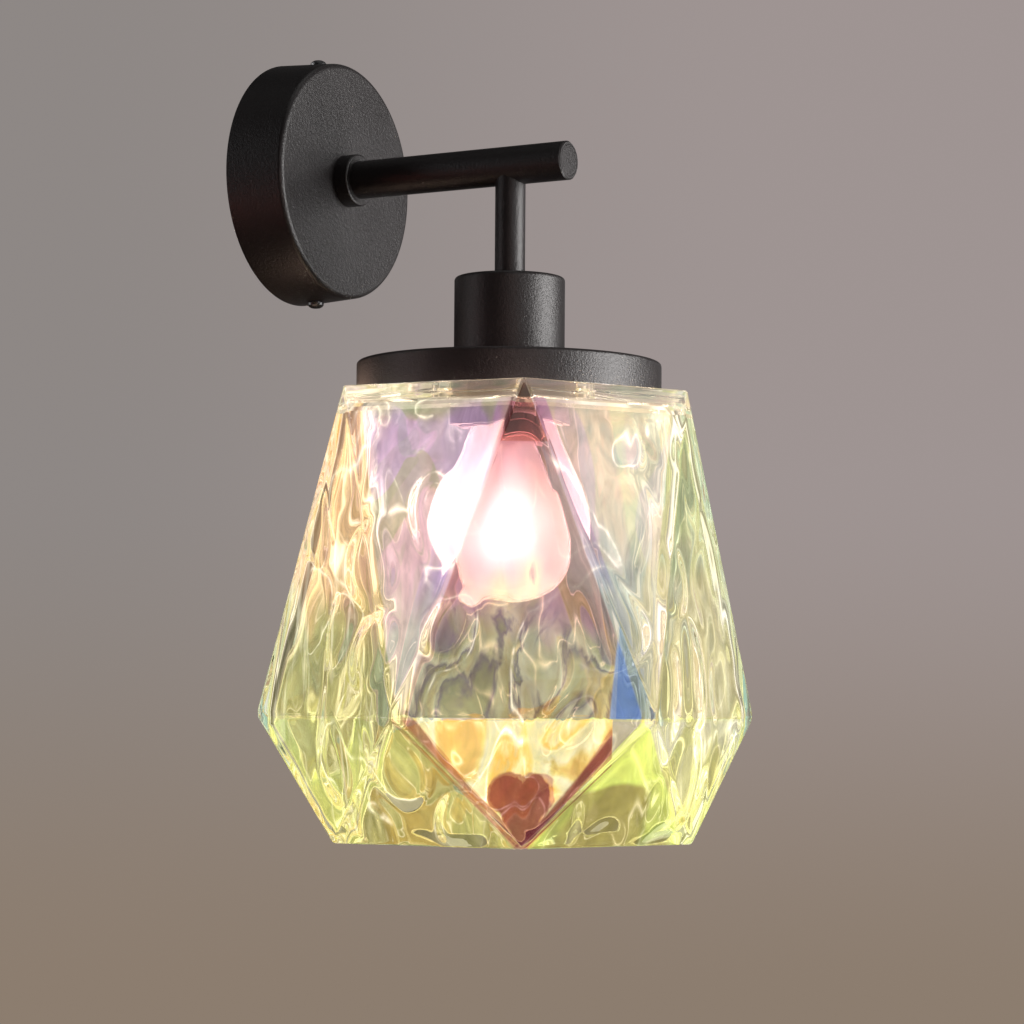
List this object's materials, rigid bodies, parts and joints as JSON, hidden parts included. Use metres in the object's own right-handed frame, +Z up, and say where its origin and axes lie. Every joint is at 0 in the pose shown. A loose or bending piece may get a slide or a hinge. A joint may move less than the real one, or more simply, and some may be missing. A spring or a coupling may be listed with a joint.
{
  "type": "wall light",
  "caption": "Wall light with a round black plate, a straight arm, a drop stem and a faceted open-bottomed glass shade over a screw-in bulb.",
  "frame": {"origin": "centre of the two wall slots on the wall plane, on the arm's axis", "axes": "+Z up, +Y into the wall, so the light stands out along -Y; +X to the right of a person facing the wall"},
  "size_m": [0.2024, 0.1978, 0.3296],
  "materials": {
    "black_powder_coat": "satin powder coat with a fine texture",
    "black_screw": "blackened, semi gloss",
    "zinc_steel": "bright zinc plate",
    "brass": "drawn brass",
    "black_phenolic": "moulded, matte",
    "porcelain": "glazed porcelain",
    "nylon": "moulded, natural white",
    "wire_brown": "wire insulation",
    "wire_blue": "wire insulation",
    "wire_green": "wire insulation",
    "silicone": "translucent grey",
    "clear_glass": "polished outside, rippled inside, iridescent tint",
    "frosted_glass": "etched white",
    "mount_glass": "clear",
    "cap_metal": "rolled, bright",
    "cap_insulator": "black glass",
    "solder": "tinned",
    "lamp_wire": "drawn"
  },
  "bodies": {
    "fixture": {"arm_collar": "black_powder_coat", "arm_end_cap": "black_powder_coat", "arm_nipple": "zinc_steel", "arm_nut": "zinc_steel", "arm_root_plug": "zinc_steel", "arm_tube": "black_powder_coat", "arm_washer": "zinc_steel", "canopy": "black_powder_coat", "centre_contact": "brass", "cup_nut": "zinc_steel", "cup_washer": "zinc_steel", "earth_tag": "zinc_steel", "earth_wire": "wire_green", "lampholder_body": "black_phenolic", "lampholder_cap": "black_phenolic", "lampholder_grub_screw": "zinc_steel", "lampholder_insert": "porcelain", "lampholder_rivets": "brass", "lampholder_shell": "brass", "lampholder_terminal_screws": "brass", "lampholder_terminals": "brass", "live_wire": "wire_brown", "neutral_wire": "wire_blue", "shade_pan": "black_powder_coat", "socket_cup": "black_powder_coat", "stem_nipple": "zinc_steel", "stem_tube": "black_powder_coat", "terminal_block": "nylon", "terminal_clamp_screws": "brass", "terminal_fixing_screw": "zinc_steel", "terminal_inserts": "brass", "upper_gasket": "silicone", "wall_bracket": "zinc_steel"},
    "top_screw": {"top_side_screw": "black_screw"},
    "bottom_screw": {"bottom_side_screw": "black_screw"},
    "shade": {"glass_shade": "clear_glass", "lower_gasket": "silicone"},
    "ring": {"shade_ring": "black_phenolic"},
    "bulb": {"bulb_globe": "frosted_glass", "bulb_screw_cap": "cap_metal", "bulb_insulator": "cap_insulator", "bulb_tip_contact": "solder", "bulb_mount": "mount_glass", "bulb_leads": "lamp_wire", "bulb_filament": "lamp_wire"}
  },
  "joints": [
    {"name": "top_screw_out", "type": "slide", "parent": "fixture", "child": "top_screw", "axis": [0, 0, 1], "range_m": [0, 0.01]},
    {"name": "bottom_screw_out", "type": "slide", "parent": "fixture", "child": "bottom_screw", "axis": [0, 0, -1], "range_m": [0, 0.01]},
    {"name": "shade_lower", "type": "slide", "parent": "fixture", "child": "shade", "axis": [0, 0, -1], "range_m": [0, 0.008]},
    {"name": "ring_turn", "type": "hinge", "parent": "shade", "child": "ring", "pos_m": [0, -0.1065, -0.107], "axis": [0, 0, -1], "range_deg": [0, 1152]},
    {"name": "bulb_out", "type": "slide", "parent": "fixture", "child": "bulb", "axis": [0, 0, -1], "range_m": [0, 0.203]}
  ],
  "couplings": [
    {"joint": "ring_turn", "follows": "shade_lower", "rad_per_m": 2513.3}
  ]
}
